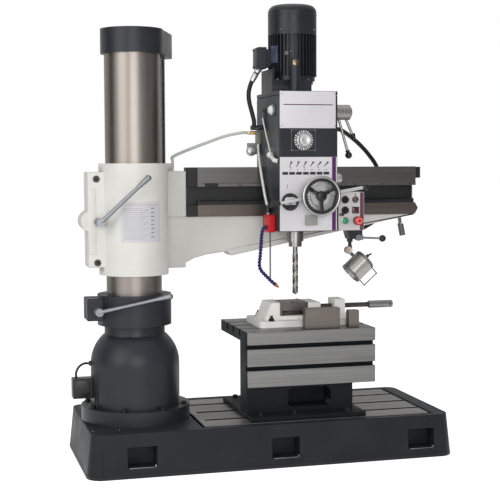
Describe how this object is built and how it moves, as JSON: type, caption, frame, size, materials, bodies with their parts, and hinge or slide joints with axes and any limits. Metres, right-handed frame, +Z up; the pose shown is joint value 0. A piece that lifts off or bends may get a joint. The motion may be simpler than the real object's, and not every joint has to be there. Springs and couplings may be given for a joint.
{
  "type": "radial arm drill",
  "caption": "Radial arm drilling machine: T-slotted base, column with swinging, lifting arm, traversing drill head, box table and vise.",
  "frame": {"origin": "on the column's axis, at floor level", "axes": "+X along the arm at rest, +Y to the back, +Z up the column"},
  "size_m": [1.668, 0.71, 2.005],
  "materials": {
    "dark_paint": "semi-gloss dark blue-grey machine paint",
    "cream_paint": "semi-gloss cream machine paint",
    "panel_paint": "semi-gloss light grey paint",
    "red_paint": "gloss red paint",
    "ground_steel": "ground steel",
    "bright_steel": "polished, bright plated steel",
    "way_iron": "ground and scraped cast iron",
    "table_iron": "machined cast iron",
    "black_metal": "black finished steel",
    "bronze": "bare bronze",
    "black_plastic": "matte black plastic",
    "cable_rubber": "black rubber",
    "pale_plastic": "translucent pale plastic",
    "blue_plastic": "blue plastic",
    "green_plastic": "green plastic",
    "red_plastic": "red plastic"
  },
  "bodies": {
    "base": {"base_plate": "dark_paint", "column_pedestal": "dark_paint", "pedestal_bolts": "ground_steel", "inner_post": "way_iron", "column_bearings": "bright_steel", "clamp_collar": "dark_paint", "junction_box": "black_plastic", "junction_cable": "cable_rubber", "work_table": "table_iron", "table_bolts": "black_metal", "vise_body": "cream_paint", "setup_blocks": "way_iron"},
    "column": {"column_tube": "ground_steel", "column_cap": "dark_paint", "lift_motor": "black_metal"},
    "arm": {"arm_casting": "cream_paint", "upper_way": "way_iron", "lower_way": "way_iron", "traverse_rack": "black_metal", "way_end_guards": "black_metal", "arm_handle": "ground_steel", "lift_nut": "bronze", "coolant_hose": "pale_plastic"},
    "head": {"head_casting": "dark_paint", "head_cover": "dark_paint", "feed_panel": "panel_paint", "motor_housing": "dark_paint", "fan_cover": "dark_paint", "terminal_box": "dark_paint", "motor_cable": "cable_rubber", "spindle_tube": "dark_paint", "control_box": "panel_paint", "coolant_valve": "ground_steel", "coolant_lines": "pale_plastic", "coolant_block": "red_paint", "nozzle_hose": "blue_plastic", "head_conduit": "cable_rubber"},
    "spindle_set": {"spindle": "bright_steel", "drill_bit": "ground_steel"},
    "column_clamp_lever": {"column_clamp_lever": "bright_steel"},
    "vise_moving_jaw": {"vise_moving_jaw": "cream_paint"},
    "vise_screw": {"vise_screw": "way_iron"},
    "lift_screw": {"lift_screw": "way_iron"},
    "arm_clamp_lever": {"arm_clamp_lever": "bright_steel"},
    "motor_rotor": {"motor_rotor": "bright_steel"},
    "bull_gear": {"bull_gear": "ground_steel"},
    "quill": {"quill": "bright_steel"},
    "feed_hub": {"feed_hub": "ground_steel"},
    "handwheel": {"handwheel": "bright_steel"},
    "speed_dial": {"speed_dial": "bright_steel"},
    "gear_lever_long": {"gear_lever_long": "bright_steel"},
    "gear_lever_short": {"gear_lever_short": "bright_steel"},
    "valve_knob": {"valve_knob": "ground_steel"},
    "start_button": {"start_button": "green_plastic"},
    "stop_button": {"stop_button": "red_plastic"},
    "selector_upper": {"selector_upper": "black_plastic"},
    "selector_lower": {"selector_lower": "black_plastic"},
    "spindle_lever": {"spindle_lever": "bright_steel"},
    "lamp_arm": {"lamp_arm": "black_metal"},
    "lamp_head": {"lamp_head": "ground_steel"}
  },
  "joints": [
    {"name": "column_swing", "type": "hinge", "parent": "base", "child": "column", "pos_m": [0, 0, 0.6], "axis": [0, 0, 1], "range_deg": [-180, 180]},
    {"name": "arm_lift", "type": "slide", "parent": "column", "child": "arm", "axis": [0, 0, 1], "range_m": [-0.06, 0.42]},
    {"name": "lift_screw_turn", "type": "hinge", "parent": "column", "child": "lift_screw", "pos_m": [0.1607, 0.19151, 1.3], "axis": [0, 0, 1], "range_deg": [-2200, 15200]},
    {"name": "head_traverse", "type": "slide", "parent": "arm", "child": "head", "axis": [1, 0, 0], "range_m": [-0.3, 0.46], "deforming": ["coolant_hose", "head_conduit"]},
    {"name": "quill_feed", "type": "slide", "parent": "head", "child": "quill", "axis": [0, 0, -1], "range_m": [0, 0.088]},
    {"name": "feed_lever_turn", "type": "hinge", "parent": "head", "child": "feed_hub", "pos_m": [0.782, -0.195, 1.147], "axis": [0, -1, 0], "range_deg": [0, 340]},
    {"name": "handwheel_turn", "type": "hinge", "parent": "head", "child": "handwheel", "pos_m": [0.782, -0.23, 1.147], "axis": [0, -1, 0], "range_deg": [-1110, 730]},
    {"name": "spindle_turn", "type": "hinge", "parent": "quill", "child": "spindle_set", "pos_m": [0.734, 0, 0.95], "axis": [0, 0, 1], "continuous": true},
    {"name": "bull_gear_turn", "type": "hinge", "parent": "head", "child": "bull_gear", "pos_m": [0.734, 0, 1.5], "axis": [0, 0, 1], "continuous": true},
    {"name": "motor_turn", "type": "hinge", "parent": "head", "child": "motor_rotor", "pos_m": [0.766, 0.1445, 1.75], "axis": [0, 0, 1], "continuous": true},
    {"name": "column_clamp", "type": "hinge", "parent": "base", "child": "column_clamp_lever", "pos_m": [-0.175, 0, 0.666], "axis": [0, -1, 0], "range_deg": [-25, 60]},
    {"name": "arm_clamp", "type": "hinge", "parent": "arm", "child": "arm_clamp_lever", "pos_m": [-0.164, 0, 1.043], "axis": [0, -1, 0], "range_deg": [-60, 30]},
    {"name": "speed_select", "type": "hinge", "parent": "head", "child": "speed_dial", "pos_m": [0.726, -0.16, 1.389], "axis": [0, -1, 0], "range_deg": [-150, 150]},
    {"name": "gear_long", "type": "hinge", "parent": "head", "child": "gear_lever_long", "pos_m": [0.9, -0.07, 1.514], "axis": [1, 0, 0], "range_deg": [-25, 25]},
    {"name": "gear_short", "type": "hinge", "parent": "head", "child": "gear_lever_short", "pos_m": [0.95, -0.07, 1.514], "axis": [1, 0, 0], "range_deg": [-25, 25]},
    {"name": "valve_turn", "type": "hinge", "parent": "head", "child": "valve_knob", "pos_m": [0.573, 0.15, 1.345], "axis": [0, -1, 0], "range_deg": [0, 270]},
    {"name": "start_press", "type": "slide", "parent": "head", "child": "start_button", "axis": [0, 1, 0], "range_m": [0, 0.004], "stiffness_N_per_m": 400},
    {"name": "stop_press", "type": "slide", "parent": "head", "child": "stop_button", "axis": [0, 1, 0], "range_m": [0, 0.005], "stiffness_N_per_m": 500},
    {"name": "selector_upper_turn", "type": "hinge", "parent": "head", "child": "selector_upper", "pos_m": [0.925, -0.14, 1.127], "axis": [0, -1, 0], "range_deg": [-45, 45]},
    {"name": "selector_lower_turn", "type": "hinge", "parent": "head", "child": "selector_lower", "pos_m": [0.925, -0.14, 1.08], "axis": [0, -1, 0], "range_deg": [-45, 45]},
    {"name": "spindle_switch", "type": "hinge", "parent": "head", "child": "spindle_lever", "pos_m": [0.985, -0.134, 0.958], "axis": [0, -1, 0], "range_deg": [-20, 20]},
    {"name": "lamp_swivel", "type": "hinge", "parent": "head", "child": "lamp_arm", "pos_m": [0.962, -0.09, 0.95], "axis": [0, 0, 1], "range_deg": [-60, 60]},
    {"name": "lamp_tilt", "type": "hinge", "parent": "lamp_arm", "child": "lamp_head", "pos_m": [0.954, -0.09, 0.9], "axis": [0, -1, 0], "range_deg": [-30, 12]},
    {"name": "vise_jaw", "type": "slide", "parent": "base", "child": "vise_moving_jaw", "axis": [1, 0, 0], "range_m": [0, 0.07]},
    {"name": "vise_screw_turn", "type": "hinge", "parent": "vise_moving_jaw", "child": "vise_screw", "pos_m": [1.1, 0.044, 0.635], "axis": [1, 0, 0], "range_deg": [-20, 5060]}
  ],
  "couplings": [
    {"joint": "lift_screw_turn", "follows": "arm_lift", "rad_per_m": 628.32},
    {"joint": "feed_lever_turn", "follows": "quill_feed", "rad_per_m": 66.667},
    {"joint": "handwheel_turn", "follows": "head_traverse", "rad_per_m": -41.667},
    {"joint": "bull_gear_turn", "follows": "motor_turn", "ratio": -0.48},
    {"joint": "spindle_turn", "follows": "motor_turn", "ratio": -0.48},
    {"joint": "vise_screw_turn", "follows": "vise_jaw", "rad_per_m": 1256.6}
  ]
}
